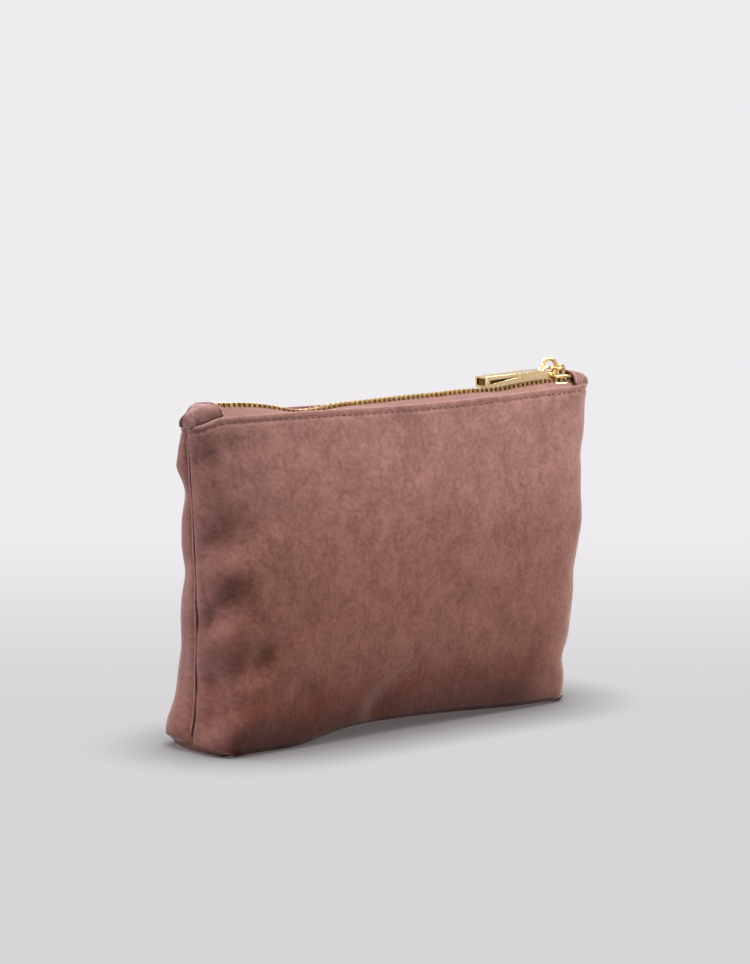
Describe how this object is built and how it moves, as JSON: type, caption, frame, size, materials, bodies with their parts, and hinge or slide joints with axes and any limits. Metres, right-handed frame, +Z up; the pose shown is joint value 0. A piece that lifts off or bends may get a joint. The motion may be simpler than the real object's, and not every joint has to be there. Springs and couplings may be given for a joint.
{
  "type": "makeup bag",
  "caption": "Soft flat-bottomed makeup pouch with boxed corners, a metal zip along its mouth and a bar pull on a ring.",
  "frame": {"origin": "on the floor, under the middle of the bag's overall box", "axes": "+X along the zip towards its closed end, where the slider rests; -Y towards the front face; +Z up"},
  "size_m": [0.2, 0.0477, 0.1397],
  "materials": {
    "suede": "brushed dusty-rose suede with a mottled nap",
    "lining": "matt woven lining",
    "zip_tape": "matt woven tape",
    "brass": "satin antique brass teeth",
    "gold": "polished pale gold plate"
  },
  "bodies": {
    "base": {"base_panel": "suede", "lining_base": "lining", "corner_seam_left": "suede", "corner_seam_right": "suede", "side_seam_left": "suede", "side_seam_right": "suede", "zip_end_tab_left": "suede", "zip_end_tab_right": "suede", "top_stop_front": "gold", "top_stop_back": "gold", "bottom_stop": "gold"},
    "front": {"front_panel": "suede", "lining_front": "lining", "zipper_tape_front": "zip_tape", "teeth_row_front": "brass"},
    "back": {"back_panel": "suede", "lining_back": "lining", "zipper_tape_back": "zip_tape", "teeth_row_back": "brass"},
    "slider": {"slider_body": "gold", "slider_bail": "gold"},
    "link": {"pull_link_ring": "gold"},
    "pull": {"pull_bar": "gold"}
  },
  "joints": [
    {"name": "slider_slide", "type": "slide", "parent": "base", "child": "slider", "axis": [-1, 0, 0], "range_m": [0, 0.164]},
    {"name": "front_open", "type": "hinge", "parent": "base", "child": "front", "pos_m": [0, -0.0186, 0.0053], "axis": [1, 0, 0], "range_deg": [0, 10], "deforming": ["teeth_row_front", "zipper_tape_front"]},
    {"name": "back_open", "type": "hinge", "parent": "base", "child": "back", "pos_m": [0, 0.0242, 0.0053], "axis": [-1, 0, 0], "range_deg": [0, 10], "deforming": ["teeth_row_back", "zipper_tape_back"]},
    {"name": "link_lift", "type": "hinge", "parent": "slider", "child": "link", "pos_m": [0.0878, -0.0083, 0.1342], "axis": [0, 1, 0], "range_deg": [0, 95]},
    {"name": "pull_lift", "type": "hinge", "parent": "link", "child": "pull", "pos_m": [0.082, -0.0083, 0.1342], "axis": [0, 1, 0], "range_deg": [0, 24]}
  ],
  "couplings": [
    {"joint": "front_open", "follows": "slider_slide", "rad_per_m": 1.064},
    {"joint": "back_open", "follows": "slider_slide", "rad_per_m": 1.064}
  ]
}
